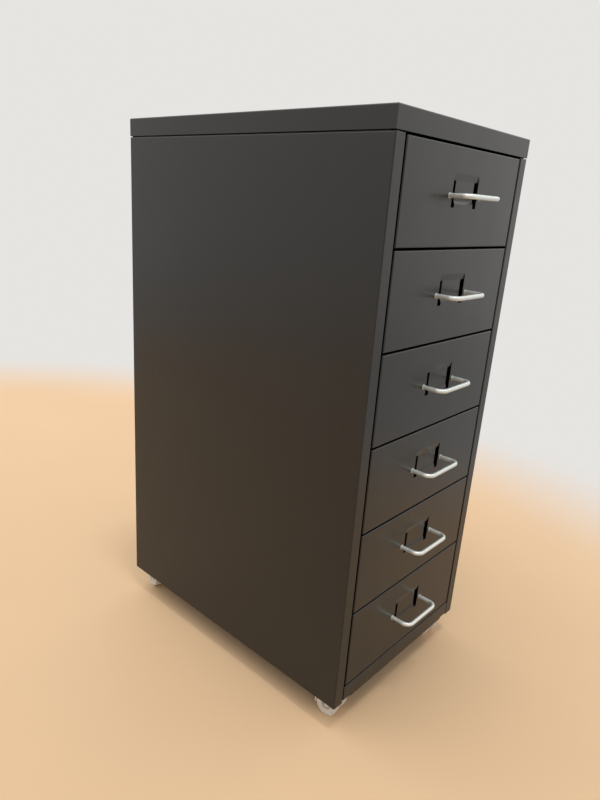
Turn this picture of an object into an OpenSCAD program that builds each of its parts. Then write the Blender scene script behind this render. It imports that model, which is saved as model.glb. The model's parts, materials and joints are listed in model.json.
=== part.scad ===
// Narrow steel drawer cabinet on twin-wheel castors.
// Millimetres, +Z up, +X to the right as seen from the front, drawers open towards -Y.
// The origin is on the floor, under the middle of the overall box (handles included).

/* [Cabinet] */
// Width over the side panels
cabinet_w = 280; // [250:1:340]
// Depth of the steel body, front face to rear edge
body_d = 404.5; // [360:0.5:480]
// Height from the floor to the top of the lid
cabinet_h = 690; // [640:1:760]
// Height of the body's lower edge above the floor
body_lift = 35; // [32:0.5:60]
// Thickness of the outer steel sheets
sheet_t = 0.7; // [0.5:0.1:1.2]
// Outside radius of the folded edges
fold_r = 1.5; // [1.3:0.1:1.8]

/* [Lid and joints between panels] */
// Height of the lid's skirt
lid_h = 21; // [16:0.5:32]
// Dark gap above and below each drawer
panel_gap = 2.2; // [1.2:0.1:3.5]
// Gap between the lid's skirt and the side panels
lid_gap = 1.2; // [0.8:0.1:3]
// Gap at each side of the drawers
side_gap = 2.8; // [1.2:0.1:4]
// How far the side panel's neck is set in under the lid
neck_inset = 2.2; // [2:0.1:4]
// Length of the neck left out at the front corners
neck_notch = 7; // [3:0.5:14]
// Width of the hem folded under the lid's skirt
lid_hem = 7; // [4:0.5:9]

/* [Side panels] */
// Width of the front stile
stile_w = 16.2; // [14:0.1:24]
// Depth of the lip folded back behind the stile
stile_lip = 12; // [8:0.5:20]
// Length of the hem folded in along the rear edge
rear_hem = 6; // [4:0.5:12]
// Width of the inset rear flange
rear_flange = 14; // [12:0.5:24]

/* [Base pan] */
// Height of the bottom rail
rail_h = 21; // [18:0.5:34]
// Gap between each end of the rail and the stile
rail_gap = 1.2; // [0.6:0.1:3]
// Width of the hem folded in under the bottom rail
rail_hem = 9; // [5:0.5:14]
// Length of the cut-back at each end of the rail's lower edge
rail_notch_l = 15; // [8:0.5:24]
// Height of that cut-back
rail_notch_h = 2.5; // [1:0.1:5]

/* [Drawers] */
// Depth of the flanges folded back round each drawer front
front_flange = 12; // [8:0.5:16]
// Thickness of the tray sheet
tray_t = 0.6; // [0.5:0.1:1]
// Height of the tray's side walls, from its floor to the rim
tray_h = 77; // [50:1:80]
// Distance from the bottom of the front up to the tray floor
tray_lift = 5; // [3:0.5:10]
// Clear space between the tray's rear wall and the rear flange
tray_rear_gap = 8; // [4:0.5:30]
// Width of the rim folded out along each side wall
rim_w = 8; // [6:0.5:9]
// Height of the edge turned up along the rim
rim_edge = 4; // [2:0.5:5]
// Width of the tabs folded against the front
tray_tab = 6; // [4:0.5:7]
// Height of the floor's lip behind the front
tray_lip = 8; // [6:1:20]
// Length of the hem along the rear wall
tray_hem = 6; // [4:0.5:10]
// Travel of a drawer from closed to its stop
drawer_travel = 310; // [200:5:330]

/* [Runners] */
// Thickness of the runner sheet
runner_t = 1; // [0.8:0.1:1.5]
// Height between the runner's two flanges
runner_gap = 6; // [5:0.5:9]
// How far a rim lies over the runner's ledge
rim_bearing = 5.5; // [3:0.5:6]
// How far the runner's top flange reaches over the rim
keeper_cover = 2.5; // [1:0.5:5]
// Length of the stop tab on the rim
stop_l = 10; // [6:0.5:20]
// Width of the stop tab past the rim
stop_w = 7; // [5:0.5:9]

/* [Label holder] */
// Width of the pressed strip
label_w = 40; // [30:1:44]
// Width of the slot at each end of the strip
label_slot = 7; // [2:0.5:7.5]
// Top crease, above the handle's axis
label_top = 22; // [16:0.5:28]
// Bottom crease, below the handle's axis
label_bottom = 8; // [6:0.5:12]
// Depth of the pressed strip
label_depth = 1.3; // [1:0.1:2.2]
// Height of the upper bevel
label_bevel_top = 7; // [4:0.5:9]
// Height of the lower bevel
label_bevel_bottom = 3; // [2.5:0.5:4]
// How far the slots run on below the bottom crease
label_tail = 3.5; // [1:0.5:6]
// Corner radius at the ends of the top crease
label_corner_r = 4; // [2:0.5:6]

/* [Handles] */
// Diameter of the handle wire
wire_d = 5; // [4:0.5:7]
// Distance between the handle's two arms
handle_span = 65; // [62:1:128]
// Distance from the drawer front to the outermost point of the handle
handle_reach = 27; // [20:0.5:40]
// Bend radius at the wire's centre line
wire_bend = 9; // [6:0.5:12]
// Height of the handle's axis above the middle of the front
handle_rise = 2; // [0:0.5:12]
// Diameter of the shoulder outside the sheet and of the head inside
shoulder_d = 5.8; // [5.6:0.1:9]
// Thickness of the shoulder
shoulder_t = 0.8; // [0.6:0.1:2]
// Thickness of the riveted head
head_t = 1.5; // [1:0.1:2.5]

/* [Castors] */
// Diameter of a wheel
wheel_d = 28; // [24:0.5:30]
// Width of one wheel
wheel_w = 9.8; // [8:0.1:14]
// Radius of the rounded tread edges
tread_r = 1.6; // [0.8:0.1:3]
// Distance from the swivel axis back to the wheel axis
castor_trail = 12; // [10:0.5:16]
// Width of the moulded centre between the wheels
castor_core_w = 8.6; // [8.4:0.1:12]
// Distance of the swivel axes inside the cabinet's sides
castor_side_inset = 29.5; // [28:0.5:60]
// Distance of the front swivel axes behind the front face
castor_front_inset = 37.25; // [34:0.25:70]
// Distance of the rear swivel axes in front of the rear edge
castor_rear_inset = 31.25; // [30:0.25:70]
// Thickness of the fender over the wheels
fender_t = 1.6; // [1.2:0.1:2.4]
// Diameter of the steel stem
stem_d = 6; // [5:0.5:6.5]
// Diameter of the steel axle
axle_d = 4; // [3:0.5:5]
// Diameter of the moulded socket
socket_d = 15; // [12:0.5:20]
// Width of the socket's square flange
socket_flange = 32; // [24:1:36]
// Thickness of that flange
socket_plate_t = 3; // [2:0.5:5]
// Diameter of the spigot that passes through the pan
spigot_d = 11; // [9:0.5:11.5]
// Radius of a wheel's hub
hub_r = 5; // [4:0.1:6]
// Inner radius of a wheel's rim
rim_in_r = 11.2; // [8:0.1:11.5]
// Depth of the ring recess in a wheel's outer face
recess_h = 1.2; // [0.5:0.1:3]

/* [Fasteners] */
// Shank diameter of the back panel's screws
screw_d = 4; // [3:0.5:5]
// Length of the shank under the head
screw_l = 8; // [5:1:12]

/* [Hidden] */
drawer_n = 6;
DRAWERS = [for (i = [1:drawer_n]) i];
CORNERS = ["fl", "fr", "rl", "rr"];

$fn = 48;
eps = 0.01;
bend_step = 15;                         // degrees of a fold per flat facet

// Clearances
slide_gap = 0.3;   // between a moving piece and its seat or stop
shaft_gap = 0.05;  // radial, between a pin and the bore that turns on it
hole_gap = 0.1;    // radial, between a fixed pin and its hole
press_gap = 0.02;  // radial, between a pressed pin and its bore

// Colours
coat = "#45423f";
coat_dark = "#2f2d2b";
zinc = "#c9cbc4";
steel = "#9b9c9a";
frosted = "#c9c1b4";

// Body planes
half_w = cabinet_w / 2;
front_y = -(body_d + handle_reach) / 2 + handle_reach;
rear_y = front_y + body_d;
web_in = half_w - sheet_t;              // inner face of a side panel
skirt_z = cabinet_h - lid_h;            // lower edge of the lid's skirt
shoulder_z = skirt_z - lid_gap;         // top of the side panels' outer face
rail_z = body_lift + rail_h;            // top of the base pan
lip_x = half_w - stile_w;               // inner face of the stile's lip
lip_y = front_y + stile_lip;            // rear edge of that lip
flange_y = rear_y - rear_hem;           // outer face of the inset rear flange
hem_gap = 0.5;                          // space left inside a closed hem
back_x = web_in - hem_gap - sheet_t - slide_gap;

// Drawer pitch: the fronts share the opening between lid and rail evenly
opening_h = skirt_z - rail_z;
front_h = (opening_h - (drawer_n + 1) * panel_gap) / drawer_n;
pitch = front_h + panel_gap;
front_w = 2 * (lip_x - side_gap);
function front_bottom(i) = skirt_z - i * pitch;
function handle_z(i) = front_bottom(i) + front_h / 2 + handle_rise;

// Runners and the rims that hang in them
runner_y = front_y + max(stile_lip, front_flange) + slide_gap;
runner_end_y = flange_y - sheet_t - slide_gap;
rim_x = front_w / 2 - slide_gap;        // outer edge of a rim
tray_x = rim_x - rim_w;                 // outer face of a tray's side wall
ledge_x = rim_x - rim_bearing;          // inner edge of a runner's ledge
keeper_x = rim_x - keeper_cover;        // inner edge of its top flange
tray_rear_y = flange_y - sheet_t - tray_rear_gap;
function tray_floor(i) = front_bottom(i) + tray_lift;
function rim_z(i) = tray_floor(i) + tray_h;
function ledge_z(i) = rim_z(i) - slide_gap;
stop_y = lip_y + slide_gap + drawer_travel;

// Castors
wheel_r = wheel_d / 2;
wheel_in_x = castor_core_w / 2 + slide_gap;
castor_half = wheel_in_x + wheel_w;
fender_in = wheel_r + 2 * slide_gap;
fender_out = fender_in + fender_t;
crown_z = body_lift - 2;
crown_t = 2;
crown_d = 16;
spigot_h = 1.5;
castor_x = half_w - castor_side_inset;
socket_rib_t = 1.6;
socket_z = crown_z + slide_gap;
axle_end = wheel_in_x + wheel_w - 3;    // the axle stops inside the wheel's blind hub
stem_top = rail_z - sheet_t - 2;
fender_from = -8;                       // degrees, from the stem side up over the top
fender_to = 128;
stem_bottom = wheel_r - 2;
function castor_at(c) = [
    (c == "fl" || c == "rl" ? -1 : 1) * castor_x,
    c == "fl" || c == "fr" ? front_y + castor_front_inset : rear_y - castor_rear_inset,
    0
];
// Way each castor trails at rest: 0 trails to the front, 180 to the rear
function castor_turn(c) = c == "fl" ? 5 : c == "fr" ? -4 : c == "rl" ? 170 : 176;

// Screws up the rear flanges, level with the middle of some drawers, clear of the runners
screw_x = web_in - hem_gap - sheet_t - rear_flange / 2;
SCREW_HEIGHTS = [for (i = [1, 3, 4, 6]) front_bottom(i) + front_h / 2];

// ---- folded sheet ----

function unit(v) = v / norm(v);
function left_of(v) = [-v.y, v.x];
function reversed(list) = [for (k = [len(list) - 1:-1:0]) list[k]];

// Middle line of a bend at point p between the ways v and w, offset by d to the left
function bend_points(p, v, w, r, d) =
    let (
        turn = acos(max(-1, min(1, v * w))),
        side = v.x * w.y - v.y * w.x >= 0 ? 1 : -1,
        start = p - v * r * tan(turn / 2),
        centre = start + side * r * left_of(v),
        spoke = -side * left_of(v),
        from = atan2(spoke.y, spoke.x),
        steps = max(1, round(turn / bend_step))
    )
    [for (k = [0:steps]) let (a = from + side * turn * k / steps)
        centre + (r - side * d) * [cos(a), sin(a)]];

// One face of a bent sheet: the middle line offset by d to the left
function sheet_side(xy, radii, ways, d) =
    let (last = len(xy) - 1)
    concat(
        [xy[0] + d * left_of(ways[0])],
        [for (k = [1:last - 1]) each bend_points(xy[k], ways[k - 1], ways[k], radii[k], d)],
        [xy[last] + d * left_of(ways[last - 1])]
    );

// Profile of a sheet of thickness t bent along the points, each [x, y, bend radius].
// The points lie on the sheet's middle line; the first and the last radius aren't used.
module sheet_profile(points, t) {
    xy = [for (p = points) [p.x, p.y]];
    radii = [for (p = points) p.z];
    ways = [for (k = [1:len(xy) - 1]) unit(xy[k] - xy[k - 1])];
    polygon(concat(sheet_side(xy, radii, ways, t / 2), reversed(sheet_side(xy, radii, ways, -t / 2))));
}

// Extrudes a profile drawn in X and Z along Y, from y0 to y1
module along_y(y0, y1) {
    translate([0, y1, 0]) rotate([90, 0, 0]) linear_extrude(y1 - y0) children();
}

// Extrudes a profile drawn in Y and Z along X, from x0 to x1
module along_x(x0, x1) {
    translate([x0, 0, 0]) rotate([90, 0, 90]) linear_extrude(x1 - x0) children();
}

// Rectangle from [x0, y0] to [x1, y1] whose upper two corners are round
module crowned(x0, y0, x1, y1, r) {
    translate([x0, y0]) square([x1 - x0, y1 - y0 - r]);
    translate([x0 + r, y0]) square([x1 - x0 - 2 * r, y1 - y0]);
    for (x = [x0 + r, x1 - r]) translate([x, y1 - r]) circle(r);
}

// Solid box with its four top edges folded round: the outside of a pressed cap
module cap_form(lo, hi, r) {
    intersection() {
        along_y(lo.y, hi.y) crowned(lo.x, lo.z, hi.x, hi.z, r);
        along_x(lo.x, hi.x) crowned(lo.y, lo.z, hi.y, hi.z, r);
    }
}

// Thin cap, open underneath
module cap(lo, hi, r, t) {
    difference() {
        cap_form(lo, hi, r);
        cap_form([lo.x + t, lo.y + t, lo.z - 1], [hi.x - t, hi.y - t, hi.z - t], r - t);
    }
}

module mirror_copy() {
    children();
    mirror([1, 0, 0]) children();
}

module block(lo, hi) {
    translate(lo) cube(hi - lo);
}

// ---- cabinet body ----

// The right-hand panel; the left one is its mirror image
module side_panel() {
    mid = sheet_t / 2;
    bend = fold_r - mid;
    hem_bend = (hem_gap + sheet_t) / 2;
    hem_x = half_w - mid - 2 * hem_bend;
    neck_top = cabinet_h - sheet_t;
    neck_bend = mid + 0.1;
    stile_neck = [lip_x + sheet_t + fold_r, half_w - neck_inset - sheet_t - fold_r];
    difference() {
        translate([0, 0, body_lift]) linear_extrude(shoulder_z - body_lift) sheet_profile([
            [lip_x + mid, lip_y, 0],
            [lip_x + mid, front_y + mid, bend],
            [half_w - mid, front_y + mid, bend],
            [half_w - mid, rear_y - mid, hem_bend],
            [hem_x, rear_y - mid, hem_bend],
            [hem_x, flange_y - mid, hem_bend],
            [hem_x - rear_flange, flange_y - mid, 0]
        ], sheet_t);
        // cut back where the rolled shoulders take over
        block([web_in - eps, front_y + fold_r, shoulder_z - fold_r],
              [half_w + eps, rear_y - fold_r, shoulder_z + eps]);
        block([stile_neck[0], front_y - eps, shoulder_z - fold_r],
              [stile_neck[1], front_y + sheet_t + eps, shoulder_z + eps]);
        screw_holes();
    }
    // rolled shoulder and the neck that the lid slips over, left out next to the stile
    difference() {
        along_y(front_y + fold_r, rear_y - fold_r) sheet_profile([
            [half_w - mid, shoulder_z - 2 * fold_r, 0],
            [half_w - mid, shoulder_z - mid, bend],
            [half_w - mid - neck_inset, shoulder_z - mid, neck_bend],
            [half_w - mid - neck_inset, neck_top, 0]
        ], sheet_t);
        block([half_w - neck_inset - sheet_t - eps, front_y, shoulder_z],
              [half_w, front_y + neck_notch, cabinet_h]);
    }
    // the same on the stile, behind the lid's front skirt
    along_x(stile_neck[0], stile_neck[1]) sheet_profile([
        [front_y + mid, shoulder_z - 2 * fold_r, 0],
        [front_y + mid, shoulder_z - mid, bend],
        [front_y + mid + neck_inset, shoulder_z - mid, neck_bend],
        [front_y + mid + neck_inset, neck_top, 0]
    ], sheet_t);
}

module side_panel_right() {
    color(coat) side_panel();
}

module side_panel_left() {
    color(coat) mirror([1, 0, 0]) side_panel();
}

// Cap with a closed hem round the lower edge of its skirt
module top_lid() {
    wall = 2 * sheet_t;
    color(coat) {
        cap([-half_w, front_y, skirt_z], [half_w, rear_y, cabinet_h], fold_r, sheet_t);
        difference() {
            block([-half_w, front_y, skirt_z], [half_w, rear_y, skirt_z + lid_hem]);
            block([-half_w + wall, front_y + wall, skirt_z - 1],
                  [half_w - wall, rear_y - wall, skirt_z + lid_hem + 1]);
        }
    }
}

// Floor of the cabinet; its front flange shows as the bottom rail between the stiles
module base_pan() {
    rail_x = lip_x - rail_gap;
    pan_y = lip_y + slide_gap;
    pan_rear_y = flange_y - sheet_t;
    joint_y = pan_y + fold_r + sheet_t;
    notch_x = rail_x - rail_notch_l;
    color(coat) difference() {
        union() {
            cap([-rail_x, front_y, body_lift], [rail_x, joint_y, rail_z], fold_r, sheet_t);
            cap([-web_in, pan_y, body_lift], [web_in, pan_rear_y, rail_z], fold_r, sheet_t);
        }
        // the part between the stiles opens into the main pan
        block([-rail_x + sheet_t, front_y + sheet_t, body_lift - 1],
              [rail_x - sheet_t, joint_y + sheet_t, rail_z - sheet_t]);
        mirror_copy() block([notch_x, front_y - 1, body_lift - 1],
                            [rail_x + 1, front_y + rail_hem, body_lift + rail_notch_h]);
        for (c = CORNERS) translate(castor_at(c)) translate([0, 0, rail_z - 2 * sheet_t])
            cylinder(d = spigot_d + 2 * hole_gap, h = 4 * sheet_t);
    }
    // hem folded in under the rail
    color(coat) block([-notch_x, front_y, body_lift],
                      [notch_x, front_y + rail_hem, body_lift + sheet_t]);
}

// Holes for the screws that hold the back panel
module screw_holes() {
    mirror_copy() for (z = SCREW_HEIGHTS)
        translate([screw_x, flange_y + screw_l, z]) rotate([90, 0, 0])
            cylinder(d = screw_d + 2 * hole_gap, h = 2 * screw_l);
}

// Flat sheet laid on the inset rear flanges; its narrower top stands up inside the lid
module back_panel() {
    top_x = half_w - neck_inset - sheet_t - slide_gap;
    color(coat) difference() {
        union() {
            block([-back_x, flange_y, body_lift], [back_x, flange_y + sheet_t, shoulder_z]);
            block([-top_x, flange_y, body_lift],
                  [top_x, flange_y + sheet_t, cabinet_h - sheet_t - slide_gap]);
        }
        screw_holes();
    }
}

// Pointed self-tapping screw with a pan head, head up, its seat on z = 0
module pan_screw() {
    head_r = screw_d;
    head_h = screw_d * 0.45;
    dome_r = head_r * 1.8;
    rotate_extrude() {
        polygon([[0, -screw_l], [screw_d / 2, screw_d - screw_l], [screw_d / 2, 0], [0, 0]]);
        intersection() {
            square([head_r, head_h]);
            translate([0, head_h - dome_r]) circle(dome_r);
        }
    }
}

module back_screws() {
    color(steel) mirror_copy() for (z = SCREW_HEIGHTS)
        translate([screw_x, flange_y + sheet_t, z]) rotate([-90, 0, 0]) pan_screw();
}

// The right-hand runner of drawer i; the left one is its mirror image
module runner(i) {
    mid = runner_t / 2;
    bend = runner_t;
    ledge = ledge_z(i) - mid;
    keeper = ledge_z(i) + runner_gap + mid;
    along_y(runner_y, runner_end_y) sheet_profile([
        [ledge_x, ledge, 0],
        [web_in - mid, ledge, bend],
        [web_in - mid, keeper, bend],
        [keeper_x, keeper, 0]
    ], runner_t);
}

module runner_right(i) {
    color(coat_dark) runner(i);
}

module runner_left(i) {
    color(coat_dark) mirror([1, 0, 0]) runner(i);
}

// ---- drawers ----

// Hollow pressed into a drawer front behind the handle's height z, round at its upper corners.
// Grown by the sheet's thickness it's the hollow's back; both are drawn from the face inwards.
module label_hollow(z, grow) {
    upper = z + label_top;
    lower = z - label_bottom;
    back = front_y + label_depth;
    side = label_w / 2 + label_slot + grow;
    intersection() {
        translate([0, grow, 0]) along_x(-side - 1, side + 1) polygon([
            [front_y - sheet_t, upper + grow], [front_y, upper],
            [back, upper - label_bevel_top], [back, lower + label_bevel_bottom],
            [front_y, lower], [front_y - sheet_t, lower - grow]
        ]);
        along_y(front_y - sheet_t, back + sheet_t)
            crowned(-side, lower - grow, side, upper + grow, label_corner_r + grow);
    }
}

// Slots that free the pressed strip's ends; behind the face they take the hollow's sides away
module label_slots(z) {
    inner = label_w / 2;
    outer = inner + label_slot;
    lower = z - label_bottom - label_tail;
    upper = z + label_top - label_bevel_top;
    behind = front_y + label_depth + 2 * sheet_t;
    mirror_copy() {
        block([inner, front_y - 1, lower], [outer, behind, upper]);
        block([inner, front_y + sheet_t, lower], [outer + 2 * sheet_t, behind, upper]);
    }
}

// Folded front with two holes for the handle and the pressed strip that holds a label
module drawer_front(i) {
    z = handle_z(i);
    color(coat) difference() {
        union() {
            translate([0, front_y, front_bottom(i)]) rotate([90, 0, 0])
                cap([-front_w / 2, 0, -front_flange], [front_w / 2, front_h, 0], fold_r, sheet_t);
            label_hollow(z, sheet_t);
        }
        label_hollow(z, 0);
        label_slots(z);
        for (x = [-1, 1] * handle_span / 2) translate([x, front_y + 2 * sheet_t, z])
            rotate([90, 0, 0]) cylinder(d = wire_d + 2 * hole_gap, h = 3 * sheet_t);
    }
}

// Tray of drawer i, open to the front sheet, with rims that hang in the runners
module drawer_tray(i) {
    mid = tray_t / 2;
    bend = fold_r - mid;
    face = front_y + sheet_t;
    floor_z = tray_floor(i);
    rim = rim_z(i);
    wall_top = rim - fold_r;
    inner_x = tray_x - tray_t;
    fold_y = face + 2 * fold_r;
    hem_bend = (hem_gap + tray_t) / 2;
    rear = tray_rear_y - mid;
    color(coat_dark) {
        // floor, side walls and rear wall
        difference() {
            translate([0, 0, floor_z + wall_top]) mirror([0, 0, 1])
                cap([-tray_x, face, floor_z], [tray_x, tray_rear_y, wall_top], fold_r, tray_t);
            block([-tray_x - 1, face - 1, floor_z - 1], [tray_x + 1, fold_y, rim]);
        }
        // floor turned up behind the front
        along_x(-inner_x + fold_r, inner_x - fold_r) sheet_profile([
            [fold_y + fold_r, floor_z + mid, 0],
            [face + mid, floor_z + mid, bend],
            [face + mid, floor_z + tray_lip, 0]
        ], tray_t);
        // rear wall's hem
        along_x(-inner_x, inner_x) sheet_profile([
            [rear, wall_top - fold_r, 0],
            [rear, rim + mid, hem_bend],
            [rear - 2 * hem_bend, rim + mid, hem_bend],
            [rear - 2 * hem_bend, rim - tray_hem, 0]
        ], tray_t);
        mirror_copy() {
            // wall turned out against the front
            translate([0, 0, floor_z + fold_r]) linear_extrude(wall_top - floor_z - fold_r)
                sheet_profile([
                    [tray_x - mid, fold_y + fold_r, 0],
                    [tray_x - mid, face + mid, bend],
                    [tray_x + tray_tab, face + mid, 0]
                ], tray_t);
            // rim with its turned-up edge
            along_y(runner_y, tray_rear_y - fold_r) sheet_profile([
                [tray_x - mid, wall_top - fold_r, 0],
                [tray_x - mid, rim + mid, bend],
                [rim_x - mid, rim + mid, bend],
                [rim_x - mid, rim + rim_edge, 0]
            ], tray_t);
            // wall ahead of the rim, and the stop tab
            block([inner_x, fold_y, wall_top - eps], [tray_x, runner_y + fold_r, rim - mid]);
            block([rim_x - fold_r - mid, stop_y, rim], [rim_x + stop_w, stop_y + stop_l, rim + tray_t]);
        }
    }
}

// Bent wire pull; a shoulder bears on the sheet outside and a riveted head inside
module drawer_handle(i) {
    bar_y = front_y - handle_reach + wire_d / 2;
    corner_x = handle_span / 2 - wire_bend;
    inside_y = front_y + sheet_t;
    color(zinc) translate([0, 0, handle_z(i)]) {
        translate([-corner_x, bar_y, 0]) rotate([0, 90, 0]) cylinder(d = wire_d, h = 2 * corner_x);
        mirror_copy() {
            translate([corner_x, bar_y + wire_bend, 0]) rotate([0, 0, -90])
                rotate_extrude(angle = 90) translate([wire_bend, 0]) circle(d = wire_d);
            translate([handle_span / 2, bar_y + wire_bend, 0]) rotate([-90, 0, 0])
                cylinder(d = wire_d, h = inside_y - bar_y - wire_bend);
            translate([handle_span / 2, front_y - shoulder_t, 0]) rotate([-90, 0, 0])
                cylinder(d = shoulder_d, h = shoulder_t);
            translate([handle_span / 2, inside_y, 0]) rotate([-90, 0, 0])
                cylinder(d1 = shoulder_d, d2 = wire_d, h = head_t);
        }
    }
}

// ---- castors ----
// Each is drawn with its swivel axis on z and its wheels trailing towards -y.

module placed(c) {
    translate(castor_at(c)) rotate([0, 0, castor_turn(c)]) children();
}

// Puts a form drawn round z onto the wheel axis, pointing towards +x
module on_axle() {
    translate([0, -castor_trail, wheel_r]) rotate([0, 90, 0]) children();
}

// Moulded socket, pushed up against the base pan, with a spigot through its hole
module castor_socket(c) {
    plate_z = rail_z - sheet_t - socket_plate_t;
    bore_r = stem_d / 2 + shaft_gap;
    rib_h = plate_z - socket_z - 2;
    rib_l = (socket_flange - socket_d) / 2 - 1;
    color(frosted) translate(castor_at(c)) difference() {
        union() {
            translate([-socket_flange / 2, -socket_flange / 2, plate_z])
                cube([socket_flange, socket_flange, socket_plate_t]);
            translate([0, 0, socket_z]) cylinder(d = socket_d, h = rail_z - sheet_t - socket_z);
            translate([0, 0, plate_z]) cylinder(d = spigot_d, h = rail_z + spigot_h - plate_z);
            for (a = [0:90:270]) rotate([0, 0, a]) translate([socket_d / 2 - 1, 0, plate_z])
                rotate([90, 0, 0]) translate([0, 0, -socket_rib_t / 2]) linear_extrude(socket_rib_t)
                    polygon([[0, eps], [rib_l + 1, eps], [0, -rib_h]]);
        }
        translate([0, 0, socket_z - 1]) cylinder(r = bore_r, h = stem_top + slide_gap - socket_z + 1);
    }
}

// Side view of the moulded centre, drawn in Y and Z
module core_outline() {
    web_r = wheel_r - 2;
    wall = stem_d / 2 + 1.5;
    translate([-castor_trail, wheel_r]) circle(web_r);
    translate([-wall, wheel_r - 2]) square([2 * wall, crown_z - wheel_r + 2]);
    intersection() {
        translate([-castor_trail, wheel_r]) circle(fender_in + eps);
        translate([-castor_trail, wheel_r]) fender_sector(2 * fender_out);
    }
}

// Wedge that the fender covers, from just below the axle's height on the stem side
module fender_sector(reach) {
    arms = [for (k = [0:4]) fender_from + k * (fender_to - fender_from) / 4];
    polygon(concat([[0, 0]], [for (a = arms) reach * [cos(a), sin(a)]]));
}

// Swivel body: centre between the wheels, fender over them and crown under the socket
module castor_housing(c) {
    color(frosted) placed(c) difference() {
        union() {
            along_x(-castor_core_w / 2, castor_core_w / 2) core_outline();
            along_x(-castor_half, castor_half) translate([-castor_trail, wheel_r]) intersection() {
                difference() {
                    circle(fender_out);
                    circle(fender_in);
                }
                fender_sector(2 * fender_out);
            }
            difference() {
                union() {
                    translate([0, 0, wheel_r]) cylinder(d = crown_d - 3, h = crown_z - wheel_r);
                    translate([0, 0, crown_z - crown_t]) cylinder(d = crown_d, h = crown_t);
                }
                translate([-castor_half, 0, 0]) on_axle() cylinder(r = fender_in, h = 2 * castor_half);
            }
        }
        translate([0, 0, stem_bottom]) cylinder(d = stem_d + 2 * press_gap, h = crown_z);
        translate([-castor_core_w, 0, 0]) on_axle()
            cylinder(d = axle_d + 2 * press_gap, h = 2 * castor_core_w);
    }
}

// Steel pin with a snap groove near its chamfered top
module castor_stem(c) {
    r = stem_d / 2;
    groove_z = stem_top - 5;
    color(steel) placed(c) rotate_extrude() polygon([
        [0, stem_bottom], [r - 0.5, stem_bottom], [r, stem_bottom + 0.5],
        [r, groove_z], [r - 0.6, groove_z + 0.3], [r - 0.6, groove_z + 1.5], [r, groove_z + 1.8],
        [r, stem_top - 1], [r - 1, stem_top], [0, stem_top]
    ]);
}

module castor_axle(c) {
    color(steel) placed(c) translate([-axle_end, 0, 0]) on_axle() cylinder(d = axle_d, h = 2 * axle_end);
}

// Section of a wheel: the inner side on y = 0, with a blind bore and ring recesses
module wheel_section() {
    difference() {
        union() {
            translate([0, tread_r]) square([wheel_r, wheel_w - 2 * tread_r]);
            square([wheel_r - tread_r, wheel_w]);
            for (z = [tread_r, wheel_w - tread_r]) translate([wheel_r - tread_r, z]) circle(tread_r);
        }
        translate([hub_r, wheel_w - recess_h]) square([rim_in_r - hub_r, recess_h + 1]);
        translate([hub_r, -1]) square([rim_in_r - hub_r, wheel_w / 3 + 1]);
        translate([-1, -1]) square([axle_d / 2 + shaft_gap + 1, axle_end - wheel_in_x + slide_gap + 1]);
    }
}

module wheel(side) {
    mirror([side < 0 ? 1 : 0, 0, 0]) translate([wheel_in_x, 0, 0]) on_axle()
        rotate_extrude() wheel_section();
}

// The outer wheel of a castor is the one nearer the cabinet's side at rest
function outer_side(c) = (c == "fl" || c == "rr") ? -1 : 1;

module wheel_outer(c) {
    color(frosted) placed(c) wheel(outer_side(c));
}

module wheel_inner(c) {
    color(frosted) placed(c) wheel(-outer_side(c));
}

// ---- placement ----

side_panel_left();
side_panel_right();
top_lid();
base_pan();
back_panel();
back_screws();

for (i = DRAWERS) {
    runner_left(i);
    runner_right(i);
    drawer_front(i);
    drawer_tray(i);
    drawer_handle(i);
}

for (c = CORNERS) {
    castor_socket(c);
    castor_housing(c);
    castor_stem(c);
    castor_axle(c);
    wheel_outer(c);
    wheel_inner(c);
}
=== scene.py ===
"""Looks of the small steel drawer cabinet: finishes, fine pieces, floor, light and camera.

Metres, +Z up, drawers open towards -Y. The camera stands at the photograph's viewpoint.
"""

import json
import math

import bmesh
import bpy
from mathutils import Matrix, Vector


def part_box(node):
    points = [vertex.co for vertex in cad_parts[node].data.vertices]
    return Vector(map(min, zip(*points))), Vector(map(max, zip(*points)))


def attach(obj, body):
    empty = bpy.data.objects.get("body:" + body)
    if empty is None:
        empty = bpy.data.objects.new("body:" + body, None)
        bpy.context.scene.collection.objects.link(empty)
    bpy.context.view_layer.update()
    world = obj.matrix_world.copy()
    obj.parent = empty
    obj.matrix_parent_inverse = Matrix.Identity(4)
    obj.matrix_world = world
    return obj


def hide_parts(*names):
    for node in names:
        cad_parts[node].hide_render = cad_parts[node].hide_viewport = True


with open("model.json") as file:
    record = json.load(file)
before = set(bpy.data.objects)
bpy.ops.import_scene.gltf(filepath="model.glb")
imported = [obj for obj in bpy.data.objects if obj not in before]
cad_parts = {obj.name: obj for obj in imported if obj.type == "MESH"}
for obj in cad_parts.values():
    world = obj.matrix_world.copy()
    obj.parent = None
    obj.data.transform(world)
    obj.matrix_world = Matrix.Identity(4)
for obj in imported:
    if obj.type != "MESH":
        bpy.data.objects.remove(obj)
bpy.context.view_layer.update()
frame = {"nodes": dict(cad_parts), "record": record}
NODES = frame["nodes"]

# The photograph's camera, fitted to the cabinet's edges in its 600 x 800 pixels
PHOTO_W = 600
PHOTO_H = 800
CAMERA_AT = Vector((-0.62865, -0.51922, 0.60402))
CAMERA_AZIMUTH = 48.37      # degrees, clockwise from +Y
CAMERA_DOWN = 17.93         # degrees below the horizon
CAMERA_ROLL = 3.81          # degrees
CAMERA_FOCUS_PX = 618.66
CAMERA_CENTRE_PX = (288.67, 400.78)
SENSOR_MM = 36.0

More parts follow.
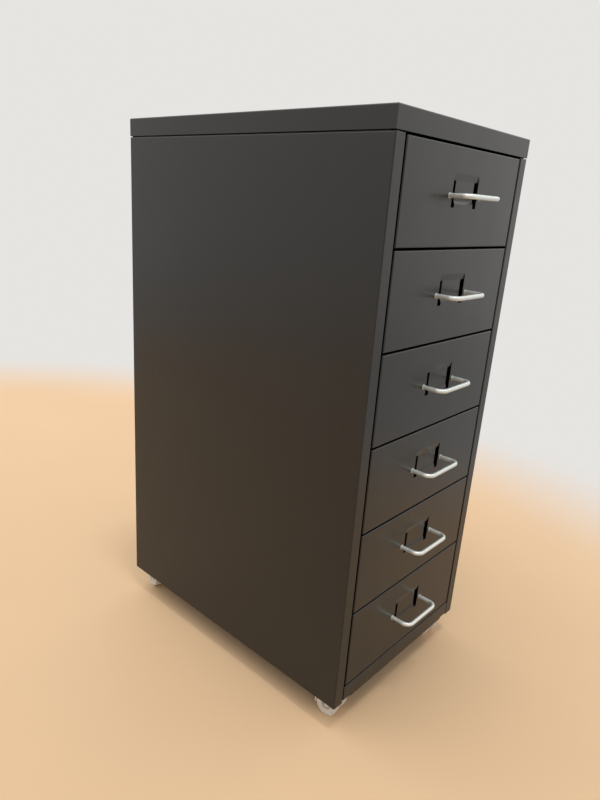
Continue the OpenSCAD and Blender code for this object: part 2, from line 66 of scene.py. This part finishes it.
# Finishes, linear colour
COAT = (0.0125, 0.0123, 0.0122)
COAT_INSIDE = (0.016, 0.015, 0.014)
# painted shade: near-black coat for the flanks of the gaps and the neck under the lid
COAT_PAINTED_GAP_SHADE = (0.005, 0.005, 0.005)
COAT_FOLD_WEAR_AND_HIGHLIGHT = 3.2             # how many times lighter the coat is on a fold, partly as wear and partly as a painted highlight
DUST = (0.30, 0.28, 0.25)
ZINC = (0.70, 0.74, 0.72)
STEEL = (0.52, 0.52, 0.51)
FROSTED = (0.82, 0.79, 0.74)
FROSTED_SCUFF = (0.42, 0.38, 0.33)
FLOOR = (0.80, 0.555, 0.335)
BACKDROP = (0.83, 0.82, 0.80)

# Brightness of the surroundings, as a lamp and as the camera sees them
ROOM_LIGHT = 0.85
ROOM_SEEN = 0.95

# Their brightness in reflections: most on the cabinet's right, less on its left, least on the
# photographer's side, more towards the ceiling, and on the far floor from low to the horizon
ROOM_RIGHT = 1.16
ROOM_LEFT = 0.93
ROOM_BEHIND = 0.35
ROOM_ABOVE = 1.8
ROOM_LOW = 0.72
ROOM_HORIZON = 1.05

# Two lamps: energy, angle across in degrees, and the way that the light goes
CEILING_LIGHT = (0.8, 50.0, (0.28, -0.22, -1.0))
FRONT_LIGHT = (0.45, 9.0, (0.054, 0.21, -1.0))
LAMP_COLOUR = (1.0, 0.97, 0.93)

# Floor: brown around a point on the cabinet's left, turning into the backdrop's brightness
# further out; distances are from that point
FLOOR_HALF = 12.0
FLOOR_MIDDLE = Vector((-0.80, 0.25, 0.0))
FLOOR_FADE = (1.35, 1.85)
FLOOR_FAR = (2.9, 5.0)      # where its reflected brightness goes from ROOM_LOW to ROOM_HORIZON
FLOOR_REFLECTED = 0.8       # painted shade: share of the brown that reflections show, so the floor looks darker in reflections

# Places that the finishes refer to
FACE_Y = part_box("drawer_front_1")[0][1]
SIDE_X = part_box("side_panel_right")[1][0]
SKIRT_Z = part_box("top_lid")[0][2]
FRONT_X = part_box("drawer_front_1")[1][0]
GAP_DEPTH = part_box("drawer_front_1")[1][1] - FACE_Y
LID_GAP = 0.0012            # between the lid's skirt and the side panels

# Sizes of the pieces that stand for CAD nodes
WHEEL_R = 0.014
WHEEL_W = 0.0098
WHEEL_BORE = 0.0071         # depth of the axle's bore
SCREW_DRAWERS = (1, 3, 4, 6)        # drawers that have a screw level with their middle, each side
SHARP_ANGLE = 35.0          # degrees between faces that meet in a sharp edge


# ---- node helpers ----

class Nodes:
    """Fills a node tree a line at a time; a value is a number, a tuple or another node's socket."""

    def __init__(self, tree):
        self.tree = tree
        self.tree.nodes.clear()

    def add(self, kind, **settings):
        node = self.tree.nodes.new("ShaderNode" + kind)
        for key, value in settings.items():
            setattr(node, key, value)
        return node

    def put(self, socket, value):
        """Links a socket, or sets a plain value, on an input."""
        if isinstance(value, bpy.types.NodeSocket):
            self.tree.links.new(value, socket)
        elif isinstance(value, tuple) and len(value) == 3 and socket.type == "RGBA":
            socket.default_value = (*value, 1.0)
        else:
            socket.default_value = value

    def mapped(self, node, value, low, high, to_low, to_high):
        for key, end in (("From Min", low), ("From Max", high), ("To Min", to_low), ("To Max", to_high)):
            self.put(node.inputs[key], end)
        self.put(node.inputs["Value"], value)
        return node.outputs["Result"]

    def span(self, value, low, high, to_low=0.0, to_high=1.0):
        """Maps value from low..high to to_low..to_high, clamped."""
        return self.mapped(self.add("MapRange"), value, low, high, to_low, to_high)

    def smooth(self, value, low, high, to_low=0.0, to_high=1.0):
        """As span, with a soft start and end."""
        node = self.add("MapRange", interpolation_type="SMOOTHSTEP")
        return self.mapped(node, value, low, high, to_low, to_high)

    def math(self, operation, a, b=0.0):
        node = self.add("Math", operation=operation)
        self.put(node.inputs[0], a)
        self.put(node.inputs[1], b)
        return node.outputs[0]

    def band(self, value, low, full, full_to, high):
        """1 from full to full_to, falling to 0 at low and at high."""
        return self.math("MULTIPLY", self.span(value, low, full), self.span(value, high, full_to))

    def vector(self, operation, a, b):
        """A number from two vectors, such as their dot product or distance."""
        node = self.add("VectorMath", operation=operation)
        self.put(node.inputs[0], a)
        self.put(node.inputs[1], b)
        return node.outputs["Value"]

    def split(self, vector):
        parts = self.add("SeparateXYZ")
        self.put(parts.inputs[0], vector)
        return parts.outputs["X"], parts.outputs["Y"], parts.outputs["Z"]


class Shader(Nodes):
    """A material's node tree."""

    def __init__(self, name):
        self.material = bpy.data.materials.new(name)
        self.material.use_nodes = True
        super().__init__(self.material.node_tree)
        self.output = self.add("OutputMaterial")
        self.place = self.add("TexCoord").outputs["Object"]

    def stretched(self, scale):
        """Object coordinates scaled differently along X, Y and Z."""
        node = self.add("Mapping")
        self.put(node.inputs["Vector"], self.place)
        self.put(node.inputs["Scale"], scale)
        return node.outputs["Vector"]

    def noise(self, scale, detail=2.0, roughness=0.5, vector=None):
        node = self.add("TexNoise")
        self.put(node.inputs["Vector"], vector or self.place)
        self.put(node.inputs["Scale"], scale)
        self.put(node.inputs["Detail"], detail)
        self.put(node.inputs["Roughness"], roughness)
        return node.outputs["Fac"]

    def vary(self, noise, low, high):
        """low to high over the usual range of a noise."""
        return self.span(noise, 0.3, 0.7, low, high)

    def mix(self, share, a, b):
        """Mixes two colours."""
        node = self.add("Mix", data_type="RGBA")
        self.put(node.inputs["Factor"], share)
        self.put(node.inputs["A"], a)
        self.put(node.inputs["B"], b)
        return node.outputs["Result"]

    def shaded(self, colour, factor):
        """A colour times a number that varies over the surface."""
        node = self.add("VectorMath", operation="SCALE")
        self.put(node.inputs[0], colour)
        self.put(node.inputs["Scale"], factor)
        return node.outputs["Vector"]

    def bump(self, height, depth, normal=None):
        """Bump whose height 0..1 stands for depth in metres."""
        node = self.add("Bump")
        self.put(node.inputs["Height"], height)
        self.put(node.inputs["Distance"], depth)
        if normal is not None:
            self.put(node.inputs["Normal"], normal)
        return node.outputs["Normal"]

    def normal(self):
        return self.add("NewGeometry").outputs["Normal"]

    def edges(self, radius):
        """0 on flat surfaces, rising to 1 on a fold or a cut edge of that radius."""
        flat, turned = 0.98, 0.80       # cosines of the angle by which the rounding turns the surface
        rounded = self.add("Bevel", samples=4)
        self.put(rounded.inputs["Radius"], radius)
        cosine = self.vector("DOT_PRODUCT", rounded.outputs["Normal"], self.normal())
        return self.span(cosine, flat, turned)

    def facing_up(self):
        return self.span(self.split(self.normal())[2], 0.6, 0.95)

    def finish(self, **inputs):
        """Closes the tree with a Principled shader; names use _ for a space."""
        shader = self.add("BsdfPrincipled")
        for key, value in inputs.items():
            self.put(shader.inputs[key.replace("_", " ")], value)
        self.put(self.output.inputs["Surface"], shader.outputs["BSDF"])
        return self.material


# ---- materials ----

def painted_gap_shade(s):
    """1 on the flanks of the gaps between panels and on the neck under the lid, which are painted black
    as shade.

    The flanks have no limit in height, so the lid's top and the base pan's underside get a black
    strip along their front as well, which the real cabinet doesn't have.
    """
    facing = (0.65, 0.95)       # share of the normal from which a face counts as a flank
    x, y, z = s.split(s.place)
    across, _, rise = s.split(s.normal())
    out = s.math("ABSOLUTE", x)
    across = s.math("ABSOLUTE", across)
    rise = s.math("ABSOLUTE", rise)
    # the gaps beside and between the drawers, from just behind the rounded edges
    beside = s.band(out, FRONT_X - 0.004, FRONT_X - 0.003, SIDE_X - 0.003, SIDE_X - 0.002)
    upright = s.math("MULTIPLY", s.span(across, *facing), beside)
    flank = s.math("MAXIMUM", upright, s.span(rise, *facing))
    back = FACE_Y + GAP_DEPTH
    behind = s.band(y, FACE_Y + 0.0005, FACE_Y + 0.0014, back, back + 0.0005)
    within = s.math("MULTIPLY", behind, s.span(out, SIDE_X - 0.002, SIDE_X - 0.003))
    flank = s.math("MULTIPLY", flank, within)
    # painted shade on the neck under the lid, but not on its foot
    foot = SKIRT_Z - LID_GAP
    under = s.band(z, foot + 0.0002, foot + 0.0006, SKIRT_Z, SKIRT_Z + 0.0001)
    neck = s.math("MULTIPLY", under, s.span(rise, 0.8, 0.5))
    return s.math("MAXIMUM", flank, neck)


def coat_material(name, colour, gloss, gaps=False):
    """Satin powder coat: faint orange peel, fine grain, folds lightened partly by wear and partly as a
    painted highlight, a little dust on top, and with gaps set, painted black shade in the gaps.
    """
    s = Shader(name)
    cloud = s.noise(7.0, 3.0, 0.55)
    grain = s.noise(1900.0, 2.0, 0.6)
    peel = s.noise(420.0, 2.0, 0.45)
    smear = s.noise(26.0, 4.0, 0.6, s.stretched((1.0, 1.0, 0.35)))
    dust = s.math("MULTIPLY", s.facing_up(), s.span(s.noise(60.0, 6.0, 0.7), 0.35, 0.75))
    edge = s.edges(0.0011)
    tone = s.math("MULTIPLY", s.vary(cloud, 0.93, 1.07), s.vary(grain, 0.9, 1.1))
    base = s.shaded(colour, tone)
    # painted highlight, in part: folds and cut edges lightened as worn coat and as the light that they
    # catch
    base = s.mix(s.math("MULTIPLY", edge, 0.35), base, tuple(COAT_FOLD_WEAR_AND_HIGHLIGHT * c for c in colour))
    base = s.mix(s.math("MULTIPLY", dust, 0.10), base, DUST)
    rough = s.vary(smear, gloss - 0.035, gloss + 0.045)
    rough = s.math("ADD", rough, s.math("MULTIPLY", dust, 0.14))
    metal = 0.0
    if gaps:
        # painted shade: the gap flanks and the neck under the lid turn near-black, as metal of a
        # near-black colour that has no gloss of its own
        metal = painted_gap_shade(s)
        base = s.mix(metal, base, COAT_PAINTED_GAP_SHADE)
        rough = s.math("MAXIMUM", rough, s.math("MULTIPLY", metal, 0.9))
    normal = s.bump(peel, 0.00003)
    normal = s.bump(grain, 0.000006, normal)
    return s.finish(Base_Color=base, Metallic=metal, Roughness=rough, Normal=normal)


def wire_material():
    """Bright zinc on drawn wire: faint draw lines, small pits and finger marks."""
    s = Shader("bright_wire_finish")
    drawn = s.noise(1.0, 3.0, 0.6, s.stretched((60.0, 2600.0, 2600.0)))
    pits = s.noise(900.0, 3.0, 0.6)
    marks = s.noise(70.0, 4.0, 0.65)
    colour = s.shaded(ZINC, s.vary(pits, 0.9, 1.08))
    rough = s.vary(marks, 0.38, 0.48)
    normal = s.bump(drawn, 0.000003)
    normal = s.bump(pits, 0.000003, normal)
    return s.finish(Base_Color=colour, Metallic=0.6, Roughness=rough, Normal=normal)


def steel_material():
    """Plain plated steel of screws and pins."""
    s = Shader("pin_steel_finish")
    turned = s.noise(1500.0, 3.0, 0.6)
    marks = s.noise(300.0, 4.0, 0.65)
    colour = s.shaded(STEEL, s.vary(marks, 0.8, 1.15))
    rough = s.vary(turned, 0.28, 0.46)
    return s.finish(Base_Color=colour, Metallic=1.0, Roughness=rough, Normal=s.bump(turned, 0.00001))


def frosted_material():
    """Translucent moulded plastic with a frosted skin and scuffs."""
    s = Shader("frosted_plastic_finish")
    cloud = s.noise(160.0, 3.0, 0.55)
    skin = s.noise(2600.0, 2.0, 0.6)
    scuff = s.span(s.noise(520.0, 5.0, 0.7), 0.52, 0.72)
    colour = s.shaded(FROSTED, s.vary(cloud, 0.93, 1.05))
    colour = s.mix(s.math("MULTIPLY", scuff, 0.22), colour, FROSTED_SCUFF)
    return s.finish(
        Base_Color=colour,
        Roughness=s.span(scuff, 0.0, 1.0, 0.20, 0.45),
        IOR=1.49,
        Subsurface_Weight=0.2,
        Subsurface_Radius=Vector((0.004, 0.0035, 0.003)),
        Transmission_Weight=0.2,
        Normal=s.bump(skin, 0.00001),
    )


def nodes_of(slot_name):
    return [row["node"] for row in frame["record"]["subparts"] if row["material_slot"] == slot_name]


def dress(slot_name, material):
    """Gives every CAD node of a slot its finish."""
    for name in nodes_of(slot_name):
        mesh = NODES[name].data
        mesh.materials.clear()
        mesh.materials.append(material)


# ---- fine pieces ----

def add_object(name, data):
    """A new object in the scene."""
    made = bpy.data.objects.new(name, data)
    bpy.context.scene.collection.objects.link(made)
    return made


def shade(mesh, material):
    """Smooth shading with sharp edges, in one material."""
    mesh.shade_smooth()
    mesh.set_sharp_from_angle(angle=math.radians(SHARP_ANGLE))
    mesh.materials.clear()
    mesh.materials.append(material)


def lathe(profile, steps):
    """Closed mesh turned round Z from (radius, height) points that start and end on the axis."""
    points = []
    rings = []
    for radius, height in profile:
        if radius == 0.0:
            rings.append([len(points)])
            points.append(Vector((0.0, 0.0, height)))
            continue
        rings.append(list(range(len(points), len(points) + steps)))
        for k in range(steps):
            angle = 2.0 * math.pi * k / steps
            points.append(Vector((radius * math.cos(angle), radius * math.sin(angle), height)))
    faces = []
    for low, high in zip(rings, rings[1:]):
        for k in range(steps):
            n = (k + 1) % steps
            if len(low) == 1:
                faces.append((low[0], high[n], high[k]))
            elif len(high) == 1:
                faces.append((low[k], low[n], high[0]))
            else:
                faces.append((low[k], low[n], high[n], high[k]))
    mesh = bpy.data.meshes.new("lathe")
    mesh.from_pydata(points, [], faces)
    return mesh


def cut_away(mesh, cutter):
    """The mesh with the cutter mesh taken out of it."""
    blank = add_object("blank", mesh)
    knife = add_object("knife", cutter)
    modifier = blank.modifiers.new("cut", "BOOLEAN")
    modifier.operation = "DIFFERENCE"
    modifier.solver = "EXACT"
    modifier.object = knife
    result = bpy.data.meshes.new_from_object(blank.evaluated_get(bpy.context.evaluated_depsgraph_get()))
    for made in (blank, knife):
        bpy.data.objects.remove(made)
    return result


def cross_cutter(reach, half_width, depth, top):
    """Tapered plus shape for a cross recess, pointing down from height top."""
    taper = 0.45
    arm = ((reach, -half_width, 0), (reach, half_width, 0), (half_width, half_width, 0))
    outline = []
    for quarter in range(4):
        turn = Matrix.Rotation(math.radians(90.0 * quarter), 3, "Z")
        outline += [turn @ Vector(point) for point in arm]
    above = [p + Vector((0, 0, top)) for p in outline]
    below = [p * taper + Vector((0, 0, top - depth)) for p in outline]
    count = len(outline)
    faces = [tuple(range(count)), tuple(reversed(range(count, 2 * count)))]
    faces += [(k, count + k, count + (k + 1) % count, (k + 1) % count) for k in range(count)]
    mesh = bpy.data.meshes.new("cross")
    mesh.from_pydata(above + below, [], faces)
    return mesh


def screw_mesh(head_r, length):
    """A pan-head screw with a cross recess, its head above height 0 and its shank length long."""
    shank_r = 0.002
    head_h = 0.0018
    dome_r = 0.0072
    chamfer = 0.0002

    def dome(radius):
        return head_h - dome_r + math.sqrt(dome_r ** 2 - radius ** 2)

    profile = [(0.0, -length), (shank_r, shank_r * 2 - length), (shank_r, 0.0)]
    profile += [(head_r - chamfer, 0.0), (head_r, chamfer), (head_r, dome(head_r) - chamfer / 2)]
    for angle in (0.35, 0.6, 0.85, 1.1, 1.35):
        radius = head_r * math.cos(angle)
        profile += [(radius, dome(radius))]
    profile += [(0.0, head_h)]
    recess = cross_cutter(reach=0.0023, half_width=0.00045, depth=0.0013, top=head_h + 0.0002)
    return cut_away(lathe(profile, 40), recess)


def build_screws(material):
    """Pan-head screws up both sides of the back panel."""
    head_r = 0.004
    low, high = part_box("back_screws")
    seat_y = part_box("back_panel")[1][1]
    screw = screw_mesh(head_r, seat_y - low[1])
    bm = bmesh.new()
    for side in (-1, 1):
        for k, drawer in enumerate(SCREW_DRAWERS):
            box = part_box(f"drawer_front_{drawer}")
            place = Vector((side * (high[0] - head_r), seat_y, (box[0][2] + box[1][2]) / 2))
            driven = Matrix.Rotation(0.5 * k + side, 4, "Z")    # each screw stopped at its own angle
            turn = Matrix.Rotation(math.radians(-90), 4, "X") @ driven
            copy = screw.copy()
            copy.transform(Matrix.Translation(place) @ turn)
            bm.from_mesh(copy)
    mesh = bpy.data.meshes.new("pan_screws")
    bm.to_mesh(mesh)
    bm.free()
    shade(mesh, material)
    piece = add_object("pan_screws", mesh)
    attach(piece, "cabinet")
    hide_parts("back_screws")


def wheel_profile():
    """Half section of a wheel from its inner face at height 0: radius and height."""
    tread = 0.0016                      # radius of the tread's edges
    bore = 0.00205
    bore_edge = 0.0002
    hub, hollow_to, hollow = 0.005, 0.0112, 0.003       # groove in the inner face, and its depth
    rim = 0.0118
    ring_out, ring_in, ring_depth = 0.0062, 0.0029, 0.0045      # ring recess in the outer face
    draft = 0.0003
    step = 0.0004
    dome = 0.0012                       # height of the hub cap's dome
    dish = (0.0005, 0.0009, 0.0013)     # depth of the outer face inside the rim, at the ring and in it
    arc = [math.radians(15 * k) for k in range(7)]

    profile = [(0.0, WHEEL_BORE), (bore, WHEEL_BORE), (bore, bore_edge), (bore + bore_edge, 0.0)]
    profile += [(hub, 0.0), (hub, hollow), (hollow_to, hollow), (hollow_to, 0.0)]
    edge = WHEEL_R - tread
    profile += [(edge + tread * math.sin(a), tread - tread * math.cos(a)) for a in arc]
    profile += [(edge + tread * math.cos(a), WHEEL_W - tread + tread * math.sin(a)) for a in arc]
    profile += [(rim, WHEEL_W), (rim - step, WHEEL_W - dish[0])]
    profile += [(ring_out + step, WHEEL_W - dish[1]), (ring_out, WHEEL_W - dish[2])]
    profile += [(ring_out - draft, WHEEL_W - ring_depth), (ring_in + draft, WHEEL_W - ring_depth)]
    profile += [(ring_in, WHEEL_W - dome)]
    profile += [(ring_in * math.cos(a), WHEEL_W - dome + dome * math.sin(a)) for a in arc[1:-1]]
    return profile + [(0.0, WHEEL_W)]


def build_wheels(material):
    """Wheels with a domed hub cap in a ring recess, each on its own spinning body."""
    joints = {joint["child"]: joint for joint in frame["record"]["behaviour"]["joints"]}
    for name in nodes_of("frosted_plastic"):
        if not name.startswith("wheel_"):
            continue
        low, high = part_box(name)
        middle = (low + high) / 2
        pin = Vector(joints[name]["pos_m"])
        axle = Vector(joints[name]["axis"]).normalized()
        if (middle - pin).dot(axle) < 0:
            axle = -axle
        inner = middle - axle * WHEEL_W / 2
        mesh = lathe(wheel_profile(), 64)
        mesh.transform(Matrix.Translation(inner) @ axle.to_track_quat("Z", "Y").to_matrix().to_4x4())
        shade(mesh, material)
        piece = add_object(name.replace("wheel_", "castor_wheel_"), mesh)
        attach(piece, name)
        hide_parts(name)


# ---- surroundings ----

def room_strength(s, reflected):
    """Brightness of the surroundings: as a lamp, as they reflect, and as the camera sees them."""
    ray = s.add("LightPath").outputs
    traced = s.math("MAXIMUM", ray["Is Camera Ray"], ray["Is Glossy Ray"])
    traced = s.math("MAXIMUM", traced, ray["Is Transmission Ray"])
    strength = s.span(traced, 0.0, 1.0, ROOM_LIGHT, reflected)
    return s.span(ray["Is Camera Ray"], 0.0, 1.0, strength, ROOM_SEEN)


def build_floor():
    """Pale floor that turns into the backdrop's brightness well away from the cabinet."""
    s = Shader("floor_finish")
    base = s.shaded(FLOOR, s.vary(s.noise(3.0, 4.0), 0.98, 1.02))
    glossy = s.add("LightPath").outputs["Is Glossy Ray"]
    near = s.add("BsdfPrincipled")
    # painted shade: reflections see the floor's colour darkened by FLOOR_REFLECTED
    s.put(near.inputs["Base Color"], s.shaded(base, s.span(glossy, 0.0, 1.0, 1.0, FLOOR_REFLECTED)))
    s.put(near.inputs["Roughness"], 0.7)
    away = s.vector("DISTANCE", s.place, FLOOR_MIDDLE)
    reflected = s.span(away, *FLOOR_FAR, ROOM_LOW, ROOM_HORIZON)
    far = s.add("Emission")
    s.put(far.inputs["Color"], BACKDROP)
    s.put(far.inputs["Strength"], room_strength(s, reflected))
    blend = s.add("MixShader")
    s.put(blend.inputs[0], s.smooth(away, *FLOOR_FADE))
    s.put(blend.inputs[1], near.outputs["BSDF"])
    s.put(blend.inputs[2], far.outputs["Emission"])
    s.put(s.output.inputs["Surface"], blend.outputs["Shader"])

    half = FLOOR_HALF
    corners = [(-half, -half, 0), (half, -half, 0), (half, half, 0), (-half, half, 0)]
    mesh = bpy.data.meshes.new("floor")
    mesh.from_pydata(corners, [], [(0, 1, 2, 3)])
    mesh.materials.append(s.material)
    add_object("floor", mesh)


def build_world():
    """Backdrop that lights evenly, and reflects more on the right and above, less behind the camera."""
    world = bpy.data.worlds.new("world")
    bpy.context.scene.world = world
    world.use_nodes = True
    s = Nodes(world.node_tree)
    looked_at = s.add("TexCoord").outputs["Generated"]
    azimuth = math.radians(CAMERA_AZIMUTH)
    right = s.vector("DOT_PRODUCT", looked_at, (math.cos(azimuth), -math.sin(azimuth), 0.0))
    behind = s.vector("DOT_PRODUCT", looked_at, (-math.sin(azimuth), -math.cos(azimuth), 0.0))
    above = s.vector("DOT_PRODUCT", looked_at, (0.0, 0.0, 1.0))
    reflected = s.smooth(right, -1.0, 1.0, ROOM_LEFT, ROOM_RIGHT)
    reflected = s.smooth(behind, 0.45, 0.95, reflected, ROOM_BEHIND)
    reflected = s.smooth(above, 0.0, 0.55, reflected, ROOM_ABOVE)
    back = s.add("Background")
    s.put(back.inputs["Color"], BACKDROP)
    s.put(back.inputs["Strength"], room_strength(s, reflected))
    s.put(s.add("OutputWorld").inputs["Surface"], back.outputs[0])


def build_lights():
    """A wide soft ceiling light a little behind and to the left, and a narrower one in front."""
    for name, (energy, across, way) in (("ceiling_light", CEILING_LIGHT), ("front_light", FRONT_LIGHT)):
        data = bpy.data.lights.new(name, "SUN")
        data.energy = energy
        data.angle = math.radians(across)
        data.color = LAMP_COLOUR
        lamp = add_object(name, data)
        lamp.rotation_mode = "QUATERNION"
        lamp.rotation_quaternion = Vector(way).to_track_quat("-Z", "Y")


def build_camera():
    """Camera turned by azimuth and elevation, then rolled, with the photograph's picture centre."""
    azimuth = math.radians(CAMERA_AZIMUTH)
    down = math.radians(CAMERA_DOWN)
    roll = math.radians(CAMERA_ROLL)
    ahead = Vector((
        math.sin(azimuth) * math.cos(down),
        math.cos(azimuth) * math.cos(down),
        -math.sin(down),
    ))
    level = ahead.cross(Vector((0, 0, 1))).normalized()
    upright = level.cross(ahead)
    right = level * math.cos(roll) + upright * math.sin(roll)
    above = upright * math.cos(roll) - level * math.sin(roll)
    data = bpy.data.cameras.new("camera")
    data.sensor_width = SENSOR_MM
    data.lens = CAMERA_FOCUS_PX * SENSOR_MM / PHOTO_H
    data.shift_x = (PHOTO_W / 2 - CAMERA_CENTRE_PX[0]) / PHOTO_H
    data.shift_y = (CAMERA_CENTRE_PX[1] - PHOTO_H / 2) / PHOTO_H
    data.clip_start = 0.01
    camera = add_object("camera", data)
    turned = Matrix((right, above, -ahead)).transposed()
    camera.matrix_world = Matrix.Translation(CAMERA_AT) @ turned.to_4x4()
    bpy.context.scene.camera = camera


# ---- the scene ----

steel = steel_material()
frosted = frosted_material()
dress("dark_coat", coat_material("dark_coat_finish", COAT, gloss=0.30, gaps=True))
dress("inner_coat", coat_material("inner_coat_finish", COAT_INSIDE, gloss=0.44))
dress("bright_wire", wire_material())
dress("pin_steel", steel)
dress("frosted_plastic", frosted)
build_screws(steel)
build_wheels(frosted)

build_floor()
build_world()
build_lights()
build_camera()
bpy.context.scene.view_settings.view_transform = "Standard"
